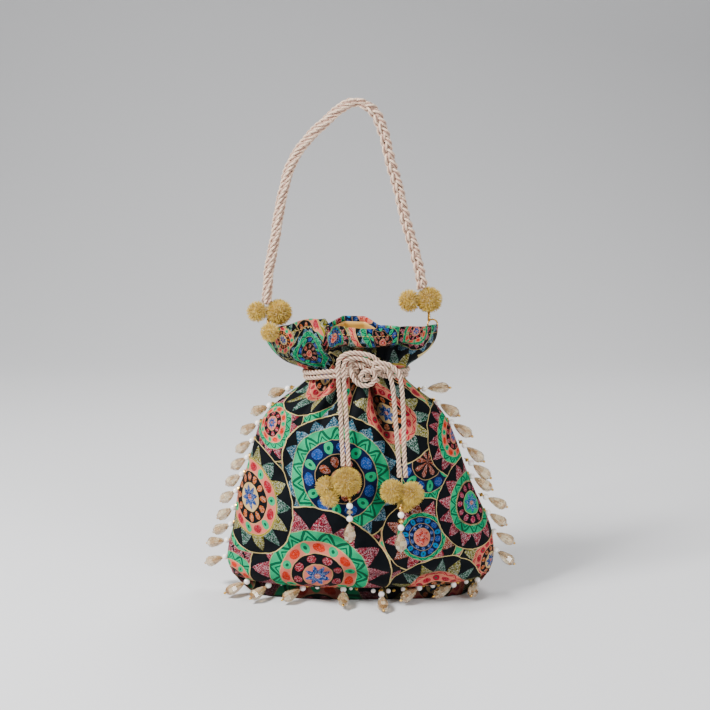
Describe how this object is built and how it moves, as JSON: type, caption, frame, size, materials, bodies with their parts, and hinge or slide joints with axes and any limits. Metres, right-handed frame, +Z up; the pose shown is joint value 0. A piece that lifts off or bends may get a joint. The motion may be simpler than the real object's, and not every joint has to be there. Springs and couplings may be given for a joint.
{
  "type": "potli bag",
  "caption": "Gathered drawstring potli pouch in printed velvet with a plaited handle, pompon cord ends and a hanging bead fringe.",
  "frame": {"origin": "on the ground under the middle of the pouch, on the flat of its underside", "axes": "+Z up along the pouch and handle, +X to the pouch's right as seen from its front, +Y to its back"},
  "size_m": [0.2849, 0.1202, 0.4256],
  "materials": {
    "printed_cloth": "printed velvet with metallic glitter print",
    "lining_satin": "plain satin",
    "blush_cord": "twisted satin cord",
    "mustard_pompon": "cut wool pile",
    "gold_loop": "gold thread",
    "champagne_beads": "faceted champagne glass with pearls and gold beads"
  },
  "bodies": {
    "pouch": {"outer_pouch": "printed_cloth", "satin_lining": "lining_satin", "drawstring_neck_upper": "blush_cord", "drawstring_neck_lower": "blush_cord", "drawstring_knot": "blush_cord", "handle_loop_left": "gold_loop", "handle_loop_right": "gold_loop", "handle_pompon_left_front": "mustard_pompon"},
    "handle": {"plaited_handle": "blush_cord", "handle_pompon_left_outer": "mustard_pompon", "handle_pompon_left_inner": "mustard_pompon", "handle_pompon_right_inner": "mustard_pompon", "handle_pompon_right_outer": "mustard_pompon"},
    "drawstring_left": {"drawstring_left_beads": "champagne_beads", "drawstring_left_pompon_large": "mustard_pompon", "drawstring_left_pompon_side": "mustard_pompon", "drawstring_left_pompon_small": "mustard_pompon", "drawstring_left_strand_inner": "blush_cord", "drawstring_left_strand_outer": "blush_cord"},
    "drawstring_right": {"drawstring_right_beads": "champagne_beads", "drawstring_right_pompon_inner": "mustard_pompon", "drawstring_right_pompon_outer": "mustard_pompon", "drawstring_right_pompon_small": "mustard_pompon", "drawstring_right_strand_inner": "blush_cord", "drawstring_right_strand_outer": "blush_cord"},
    "fringe_bottom_01": {"fringe_bottom_01": "champagne_beads"},
    "fringe_bottom_02": {"fringe_bottom_02": "champagne_beads"},
    "fringe_bottom_03": {"fringe_bottom_03": "champagne_beads"},
    "fringe_bottom_04": {"fringe_bottom_04": "champagne_beads"},
    "fringe_bottom_05": {"fringe_bottom_05": "champagne_beads"},
    "fringe_bottom_06": {"fringe_bottom_06": "champagne_beads"},
    "fringe_bottom_07": {"fringe_bottom_07": "champagne_beads"},
    "fringe_bottom_08": {"fringe_bottom_08": "champagne_beads"},
    "fringe_left_01": {"fringe_left_01": "champagne_beads"},
    "fringe_left_02": {"fringe_left_02": "champagne_beads"},
    "fringe_left_03": {"fringe_left_03": "champagne_beads"},
    "fringe_left_04": {"fringe_left_04": "champagne_beads"},
    "fringe_left_05": {"fringe_left_05": "champagne_beads"},
    "fringe_left_06": {"fringe_left_06": "champagne_beads"},
    "fringe_left_07": {"fringe_left_07": "champagne_beads"},
    "fringe_left_08": {"fringe_left_08": "champagne_beads"},
    "fringe_left_09": {"fringe_left_09": "champagne_beads"},
    "fringe_left_10": {"fringe_left_10": "champagne_beads"},
    "fringe_left_11": {"fringe_left_11": "champagne_beads"},
    "fringe_right_01": {"fringe_right_01": "champagne_beads"},
    "fringe_right_02": {"fringe_right_02": "champagne_beads"},
    "fringe_right_03": {"fringe_right_03": "champagne_beads"},
    "fringe_right_04": {"fringe_right_04": "champagne_beads"},
    "fringe_right_05": {"fringe_right_05": "champagne_beads"},
    "fringe_right_06": {"fringe_right_06": "champagne_beads"},
    "fringe_right_07": {"fringe_right_07": "champagne_beads"},
    "fringe_right_08": {"fringe_right_08": "champagne_beads"},
    "fringe_right_09": {"fringe_right_09": "champagne_beads"},
    "fringe_right_10": {"fringe_right_10": "champagne_beads"}
  },
  "joints": [
    {"name": "handle_swing", "type": "hinge", "parent": "pouch", "child": "handle", "pos_m": [-0.0145, -0.002, 0.2533], "axis": [0.997, 0, 0.0773], "range_deg": [-95, 95]},
    {"name": "drawstring_left_swing", "type": "hinge", "parent": "pouch", "child": "drawstring_left", "pos_m": [-0.0175, -0.0425, 0.212], "axis": [-1, 0, 0], "range_deg": [0, 75]},
    {"name": "drawstring_right_swing", "type": "hinge", "parent": "pouch", "child": "drawstring_right", "pos_m": [0.024, -0.041, 0.206], "axis": [-1, 0, 0], "range_deg": [0, 75]},
    {"name": "seam_bottom_01_swing", "type": "hinge", "parent": "pouch", "child": "fringe_bottom_01", "pos_m": [-0.09935, -0.01028, 0.01217], "axis": [-0.4695, 0.8829, 0], "range_deg": [0, 16]},
    {"name": "seam_bottom_02_swing", "type": "hinge", "parent": "pouch", "child": "fringe_bottom_02", "pos_m": [-0.08028, -0.01752, 0.0118], "axis": [-0.7071, 0.7071, 0], "range_deg": [0, 16]},
    {"name": "seam_bottom_03_swing", "type": "hinge", "parent": "pouch", "child": "fringe_bottom_03", "pos_m": [-0.05033, -0.0232, 0.01149], "axis": [-0.5736, 0.8191, 0], "range_deg": [0, 16]},
    {"name": "seam_bottom_04_swing", "type": "hinge", "parent": "pouch", "child": "fringe_bottom_04", "pos_m": [-0.016, -0.02583, 0.0114], "axis": [-1, 0, 0], "range_deg": [0, 16]},
    {"name": "seam_bottom_05_swing", "type": "hinge", "parent": "pouch", "child": "fringe_bottom_05", "pos_m": [0.01603, -0.02572, 0.0114], "axis": [-0.9976, -0.0698, 0], "range_deg": [0, 16]},
    {"name": "seam_bottom_06_swing", "type": "hinge", "parent": "pouch", "child": "fringe_bottom_06", "pos_m": [0.04969, -0.02276, 0.01152], "axis": [-0.6428, 0.766, 0], "range_deg": [0, 12]},
    {"name": "seam_bottom_07_swing", "type": "hinge", "parent": "pouch", "child": "fringe_bottom_07", "pos_m": [0.07966, -0.01644, 0.01186], "axis": [-0.5299, 0.848, 0], "range_deg": [0, 9]},
    {"name": "seam_bottom_08_swing", "type": "hinge", "parent": "pouch", "child": "fringe_bottom_08", "pos_m": [0.10086, -0.00689, 0.0123], "axis": [-0.9397, 0.342, 0], "range_deg": [0, 16]},
    {"name": "seam_left_01_swing", "type": "hinge", "parent": "pouch", "child": "fringe_left_01", "pos_m": [-0.0626, 0, 0.18201], "axis": [0.6332, 0, 0.774], "range_deg": [-8, 45]},
    {"name": "seam_left_02_swing", "type": "hinge", "parent": "pouch", "child": "fringe_left_02", "pos_m": [-0.07857, 0, 0.16719], "axis": [0.7446, 0, 0.6675], "range_deg": [-32, 45]},
    {"name": "seam_left_03_swing", "type": "hinge", "parent": "pouch", "child": "fringe_left_03", "pos_m": [-0.08868, 0, 0.15188], "axis": [0.5487, 0, 0.836], "range_deg": [-45, 45]},
    {"name": "seam_left_04_swing", "type": "hinge", "parent": "pouch", "child": "fringe_left_04", "pos_m": [-0.09381, 0, 0.13647], "axis": [0.2922, 0, 0.9564], "range_deg": [-45, 45]},
    {"name": "seam_left_05_swing", "type": "hinge", "parent": "pouch", "child": "fringe_left_05", "pos_m": [-0.09833, 0, 0.12146], "axis": [0.2873, 0, 0.9578], "range_deg": [-45, 45]},
    {"name": "seam_left_06_swing", "type": "hinge", "parent": "pouch", "child": "fringe_left_06", "pos_m": [-0.10315, 0, 0.10654], "axis": [0.3363, 0, 0.9417], "range_deg": [-45, 45]},
    {"name": "seam_left_07_swing", "type": "hinge", "parent": "pouch", "child": "fringe_left_07", "pos_m": [-0.10851, 0, 0.09154], "axis": [0.3363, 0, 0.9417], "range_deg": [-45, 45]},
    {"name": "seam_left_08_swing", "type": "hinge", "parent": "pouch", "child": "fringe_left_08", "pos_m": [-0.11091, 0, 0.07625], "axis": [0.1533, 0, 0.9882], "range_deg": [-45, 45]},
    {"name": "seam_left_09_swing", "type": "hinge", "parent": "pouch", "child": "fringe_left_09", "pos_m": [-0.1133, 0, 0.06139], "axis": [0.2425, 0, 0.9701], "range_deg": [-45, 45]},
    {"name": "seam_left_10_swing", "type": "hinge", "parent": "pouch", "child": "fringe_left_10", "pos_m": [-0.11705, 0, 0.04639], "axis": [0.2425, 0, 0.9701], "range_deg": [-45, 45]},
    {"name": "seam_left_11_swing", "type": "hinge", "parent": "pouch", "child": "fringe_left_11", "pos_m": [-0.11889, 0, 0.03116], "axis": [0.0995, 0, 0.995], "range_deg": [-45, 45]},
    {"name": "seam_right_01_swing", "type": "hinge", "parent": "pouch", "child": "fringe_right_01", "pos_m": [0.05235, 0, 0.18186], "axis": [-0.5369, 0, 0.8437], "range_deg": [-45, 45]},
    {"name": "seam_right_02_swing", "type": "hinge", "parent": "pouch", "child": "fringe_right_02", "pos_m": [0.06402, 0, 0.16995], "axis": [-0.5914, 0, 0.8064], "range_deg": [-45, 45]},
    {"name": "seam_right_03_swing", "type": "hinge", "parent": "pouch", "child": "fringe_right_03", "pos_m": [0.07574, 0, 0.15262], "axis": [-0.3881, 0, 0.9216], "range_deg": [-45, 45]},
    {"name": "seam_right_04_swing", "type": "hinge", "parent": "pouch", "child": "fringe_right_04", "pos_m": [0.08247, 0, 0.13662], "axis": [-0.3881, 0, 0.9216], "range_deg": [-45, 45]},
    {"name": "seam_right_05_swing", "type": "hinge", "parent": "pouch", "child": "fringe_right_05", "pos_m": [0.08808, 0, 0.12053], "axis": [-0.3285, 0, 0.9445], "range_deg": [-45, 45]},
    {"name": "seam_right_06_swing", "type": "hinge", "parent": "pouch", "child": "fringe_right_06", "pos_m": [0.09416, 0, 0.10461], "axis": [-0.3786, 0, 0.9255], "range_deg": [-45, 45]},
    {"name": "seam_right_07_swing", "type": "hinge", "parent": "pouch", "child": "fringe_right_07", "pos_m": [0.10084, 0, 0.08867], "axis": [-0.4201, 0, 0.9075], "range_deg": [-45, 45]},
    {"name": "seam_right_08_swing", "type": "hinge", "parent": "pouch", "child": "fringe_right_08", "pos_m": [0.10871, 0, 0.07167], "axis": [-0.4201, 0, 0.9075], "range_deg": [-45, 45]},
    {"name": "seam_right_09_swing", "type": "hinge", "parent": "pouch", "child": "fringe_right_09", "pos_m": [0.11428, 0, 0.05435], "axis": [-0.2169, 0, 0.9762], "range_deg": [-45, 45]},
    {"name": "seam_right_10_swing", "type": "hinge", "parent": "pouch", "child": "fringe_right_10", "pos_m": [0.11635, 0, 0.03805], "axis": [-0.0312, 0, 0.9995], "range_deg": [-45, 45]}
  ]
}
